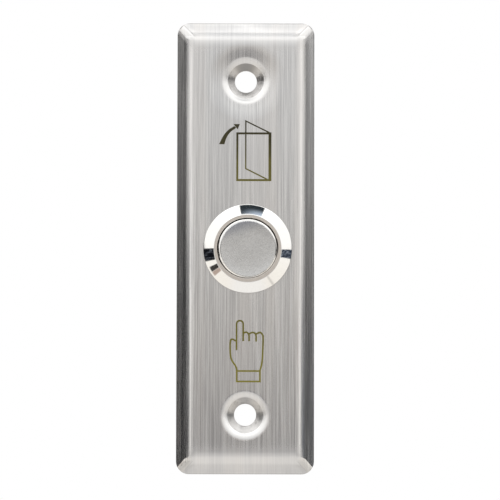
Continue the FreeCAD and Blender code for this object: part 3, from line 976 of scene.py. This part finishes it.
def makeHousing():
    edge = bezel["edgeBreak"]
    bore = bezel["boreRadius"]
    mouthY = bezel["landY"] + bezel["mouthDepth"]
    front = roundedProfile([
        (bore, bezel["stepY"], 0),
        (bore, mouthY, 0),
        (bore, bezel["landY"], edge),
        (bore + bezel["landWidth"], bezel["landY"], edge),
        (bezel["flangeRadius"], bezel["flangeEdgeY"], edge),
        (bezel["flangeRadius"], bezel["flangeBackY"], edge),
        (bezel["rootRadius"], bezel["flangeBackY"], 0),
    ])
    length = bezel["threadEndY"] - bezel["threadStartY"]
    rows = int(length / bezel["pitch"] * bezel["rowsPerPitch"])
    around = bezel["around"]
    rings = [(point.x, point.y, False) for point in front]
    rings += [(0.0, bezel["threadStartY"] + length * row / rows, True) for row in range(rows + 1)]
    rings += [(bezel["rearBoreRadius"], bezel["threadEndY"], False)]
    rings += [(bezel["rearBoreRadius"], bezel["stepY"], False)]
    vertices = []
    for radius, y, threaded in rings:
        inMouth = radius < bore + edge * 1.5 and y < mouthY - edge / 2
        shiftX, shiftZ = bezel["boreShift"] if inMouth and not threaded else (0, 0)
        for k in range(around):
            angle = 2 * math.pi * k / around
            r = threadRadius(y, angle) if threaded else radius
            x = switchX + shiftX + r * math.cos(angle)
            z = switchZ + shiftZ + r * math.sin(angle)
            vertices.append((x * mm, y * mm, z * mm))
    mesh = bpy.data.meshes.new("bezel_and_barrel")
    mesh.from_pydata(vertices, [], ringFaces(len(rings), around, closed=True))
    finishNames = ["barrel", "polished", "land", "gap"]
    for name in finishNames:
        mesh.materials.append(finishes[name])
    landEnd = bore + bezel["landWidth"] - edge / 2
    for polygon in mesh.polygons:
        x, y, z = polygon.center / mm
        radius = math.hypot(x - switchX, z - switchZ)
        finish = "barrel"
        if y < bezel["flangeBackY"] - edge and radius > landEnd:
            finish = "polished"
        elif y < bezel["landY"] + bezel["nearly"] and radius > bore + edge:
            finish = "land"
        elif y < bezel["stepY"] and radius < bore + edge:
            finish = "gap"
        polygon.material_index = finishNames.index(finish)
    mesh.shade_smooth()
    mesh.set_sharp_from_angle(angle=math.radians(bezel["sharpFrom"]))
    addPiece("bezel_and_barrel", mesh, "frame", "bezel_steel", "switch_housing")


makeHousing()
print("bezel and threaded barrel made")

# coil springs: each lies along the switch's axis, from one y to another. Its anchor is the end that
# stays, and keep is its pressed length over its free one
springs = {
    "return_spring": {
        "outer": 6.185, "wire": 0.6, "turns": 5, "from": 0.7, "to": 6.5,
        "body": "frame", "joint": "button_press", "anchor": 6.5, "keep": 3.8 / 5.8,
    },
    "contact_spring": {
        "outer": 1.925, "wire": 0.35, "turns": 5, "from": 2.6, "to": 5.2,
        "body": "button", "joint": "button_press", "anchor": 2.6, "keep": 2.0 / 2.6,
    },
}
coilShape = {
    "around": 48,
    "sides": 12,
    "closedTurns": 0.75,
    "openingTurns": 0.5,
    "closedPitch": 1.02,        # of the wire's thickness
    "sharpFrom": 40,
}


def makeSpring(name, size):
    around, sides = coilShape["around"], coilShape["sides"]
    mean = size["outer"] - size["wire"] / 2
    length = size["to"] - size["from"] - size["wire"]
    steps = size["turns"] * around
    # the pitch opens from one closed turn at each end
    opened = [0.0]
    for k in range(steps):
        fromEnd = min(k + 0.5, steps - k - 0.5) / around
        share = (fromEnd - coilShape["closedTurns"]) / coilShape["openingTurns"]
        opened.append(opened[-1] + min(max(share, 0.0), 1.0) / around)
    closed = size["wire"] * coilShape["closedPitch"]
    spare = (length - closed * size["turns"]) / opened[-1]
    centres = []
    for k, share in enumerate(opened):
        angle = 2 * math.pi * k / around
        y = size["from"] + size["wire"] / 2 + closed * k / around + spare * share
        centres.append(Vector((switchX + mean * math.cos(angle), y, switchZ + mean * math.sin(angle))))
    vertices = []
    for k, centre in enumerate(centres):
        along = (centres[min(k + 1, steps)] - centres[max(k - 1, 0)]).normalized()
        outward = Vector((centre.x - switchX, 0, centre.z - switchZ)).normalized()
        across = along.cross(outward).normalized()
        for side in range(sides):
            turn = 2 * math.pi * side / sides
            point = centre + (outward * math.cos(turn) + across * math.sin(turn)) * size["wire"] / 2
            vertices.append(point * mm)
    # these rings run the other way round from the housing's, so the faces are turned over
    faces = [(a, d, c, b) for a, b, c, d in ringFaces(steps + 1, sides, closed=False)]
    faces.append(tuple(range(sides)))
    faces.append(tuple(steps * sides + side for side in reversed(range(sides))))
    mesh = bpy.data.meshes.new(name + "_coil")
    mesh.from_pydata(vertices, [], faces)
    mesh.materials.append(finishes["spring"])
    mesh.shade_smooth()
    mesh.set_sharp_from_angle(angle=math.radians(coilShape["sharpFrom"]))
    coil = addPiece(name + "_coil", mesh, size["body"], "spring_steel", name)
    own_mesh(coil)


for name, size in springs.items():
    makeSpring(name, size)
print("springs made")


# marks, placed by the pixels of the photo at their line's middle; widths are in millimetres
doorMark = {
    "frameLeft": 237.05, "frameRight": 269.75, "frameTop": 133.05, "frameBottom": 179.95,
    "line": 0.42, "rightLine": 0.60, "thinLine": 0.27,
    "leafX": 245.5, "leafTop": 120.6, "leafBottom": 168.4,
    "leafEndTop": (270.5, 132.9), "leafEndBottom": (267.0, 179.2),
}
arrowMark = {
    "tail": ((218.7, 144.0), (224.1, 144.0)),
    "outer": [(223.0, 135.0), (228.3, 129.0), (234.0, 125.8)],
    "inner": [(226.0, 137.4), (229.8, 131.7), (235.9, 127.5)],
    "head": [(233.2, 123.7), (239.6, 123.7), (237.3, 129.0)],
    "headTip": 0.02,
    "roundings": 3,
}
handMark = {
    "line": 0.34,
    "cuff": [(237.1, 370.8), (260.2, 370.8), (260.2, 381.2), (237.1, 381.2)],
    "thumbSide": [
        (237.1, 370.8), (236.8, 366.9), (231.3, 359.3), (230.4, 352.4), (230.4, 340.9),
        (231.7, 339.0), (233.9, 339.4), (235.9, 341.1),
    ],
    "finger": {"left": 236.8, "right": 243.4, "bottomLeft": 350.1, "bottomRight": 341.1, "tip": 320.6},
    "knuckles": [
        [(243.6, 333.3), (246.2, 331.6), (249.3, 333.9), (249.3, 341.1)],
        [(249.3, 333.9), (252.8, 331.9), (256.4, 333.9), (256.3, 341.5)],
        [
            (256.4, 333.9), (258.9, 332.5), (260.8, 332.3), (262.7, 334.4), (263.5, 336.7),
            (262.7, 358.5), (261.9, 364.6), (260.2, 370.4),
        ],
    ],
    "fingerSteps": 12,
    "roundings": 2,
    "colourRows": (381, 321),
}
# each slab of a mark stands a step further out than the one before, so that none flickers
marks = {"proud": 0.012, "step": 0.0015, "sunk": 0.02, "leastMitre": 0.35}


def onPlate(pixel):
    # a photo pixel as (x, z) in millimetres on the plate's face, which is nearer than its middle
    middle = photo["pixels"] / 2
    nearer = 1 + faceY / photo["distance"]
    across = (pixel[0] - middle) * nearer + middle - photo["plateCentre"][0]
    up = (middle - pixel[1]) * nearer + photo["plateCentre"][1] - middle
    lift = faceY * math.sin(math.radians(photo["elevation"]))
    return Vector((across / photo["pixelsPerMm"], up / photo["pixelsPerMm"] - lift))


def onPlateAll(pixels):
    return [onPlate(pixel) for pixel in pixels]


def smoothed(points, times):
    # rounds a line of given points by cutting its corners; the two ends stay
    for _ in range(times):
        cut = [points[0]]
        for first, second in zip(points, points[1:]):
            cut.append(first.lerp(second, 0.25))
            cut.append(first.lerp(second, 0.75))
        cut.append(points[-1])
        points = cut
    return points


class Mark:
    # a mark on the face, made of thin closed slabs
    def __init__(self, name):
        self.name = name
        self.vertices = []
        self.faces = []
        self.layers = 0

    def slab(self, leftSide, rightSide):
        # a strip between two lines of as many points
        top = (faceY - marks["proud"] - marks["step"] * self.layers) * mm
        bottom = (faceY + marks["sunk"]) * mm
        self.layers += 1
        start = len(self.vertices)
        count = len(leftSide)
        for y in (top, bottom):
            for side in (leftSide, rightSide):
                self.vertices += [(point.x * mm, y, point.y * mm) for point in side]
        topLeft, topRight, lowLeft, lowRight = (start + count * k for k in range(4))
        for k in range(count - 1):
            self.faces.append((topLeft + k, topLeft + k + 1, topRight + k + 1, topRight + k))
            self.faces.append((lowLeft + k, lowRight + k, lowRight + k + 1, lowLeft + k + 1))
            self.faces.append((topLeft + k, lowLeft + k, lowLeft + k + 1, topLeft + k + 1))
            self.faces.append((topRight + k, topRight + k + 1, lowRight + k + 1, lowRight + k))
        last = count - 1
        self.faces.append((topLeft, topRight, lowRight, lowLeft))
        self.faces.append((topLeft + last, lowLeft + last, lowRight + last, topRight + last))

    def stroke(self, points, width, closed=False):
        # a line of one width with mitred corners
        count = len(points)
        leftSide, rightSide = [], []
        for k, here in enumerate(points):
            before = points[k - 1] if k or closed else None
            after = points[(k + 1) % count] if k + 1 < count or closed else None
            into = (here - before).normalized() if before else (after - here).normalized()
            out = (after - here).normalized() if after else into
            along = (into + out).normalized()
            across = Vector((-along.y, along.x))
            reach = width / 2 / max(along.dot(into), marks["leastMitre"])
            leftSide.append(here + across * reach)
            rightSide.append(here - across * reach)
        if closed:
            leftSide.append(leftSide[0])
            rightSide.append(rightSide[0])
        self.slab(leftSide, rightSide)

    def finish(self, paint):
        mesh = bpy.data.meshes.new(self.name)
        mesh.from_pydata(self.vertices, [], self.faces)
        mesh.materials.append(material(self.name, {"Metallic": markFinish["metallic"]}, paint))
        mesh.validate()
        addPiece(self.name, mesh, "frame", "plate_steel")


def makeDoorMark():
    mark = Mark("mark_door")
    left, right = doorMark["frameLeft"], doorMark["frameRight"]
    top, bottom = doorMark["frameTop"], doorMark["frameBottom"]
    frameLine = onPlateAll([(right, top), (left, top), (left, bottom), (right, bottom)])
    mark.stroke(frameLine, doorMark["line"])
    halfLine = doorMark["line"] / 2 * photo["pixelsPerMm"]
    rightLine = onPlateAll([(right, top - halfLine), (right, bottom + halfLine)])
    mark.stroke(rightLine, doorMark["rightLine"])
    leaf = [doorMark["leafEndTop"], (doorMark["leafX"], doorMark["leafTop"])]
    leaf += [(doorMark["leafX"], doorMark["leafBottom"]), doorMark["leafEndBottom"]]
    mark.stroke(onPlateAll(leaf), doorMark["thinLine"])
    sides = []
    for start, line in zip(arrowMark["tail"], (arrowMark["outer"], arrowMark["inner"])):
        sides.append(smoothed(onPlateAll([start, *line]), arrowMark["roundings"]))
    mark.slab(*sides)
    head = onPlateAll(arrowMark["head"])
    mark.slab([head[0], head[1]], [head[0].lerp(head[2], arrowMark["headTip"]), head[2]])
    low, high = onPlate((0, bottom)).y, onPlate((0, top)).y
    mark.finish(paintMark(markFinish["olive"], markFinish["dark"], low, high))


def makeHandMark():
    mark = Mark("mark_hand")
    line = handMark["line"]
    mark.stroke(onPlateAll(handMark["cuff"]), line, closed=True)
    mark.stroke(smoothed(onPlateAll(handMark["thumbSide"]), handMark["roundings"]), line)
    finger = handMark["finger"]
    left, right = onPlateAll([(finger["left"], finger["tip"]), (finger["right"], finger["tip"])])
    radius = (right.x - left.x) / 2
    centre = Vector((left.x + radius, left.y - radius))
    outline = [onPlate((finger["left"], finger["bottomLeft"]))]
    for step in range(handMark["fingerSteps"] + 1):
        angle = math.pi * (1 - step / handMark["fingerSteps"])
        outline.append(centre + Vector((math.cos(angle), math.sin(angle))) * radius)
    outline.append(onPlate((finger["right"], finger["bottomRight"])))
    mark.stroke(outline, line)
    for knuckle in handMark["knuckles"]:
        mark.stroke(smoothed(onPlateAll(knuckle), handMark["roundings"]), line)
    low, high = (onPlate((0, row)).y for row in handMark["colourRows"])
    mark.finish(paintMark(markFinish["hand"], markFinish["handDark"], low, high))


makeDoorMark()
makeHandMark()
print("marks made")

bpy.context.scene.view_settings.view_transform = "Standard"
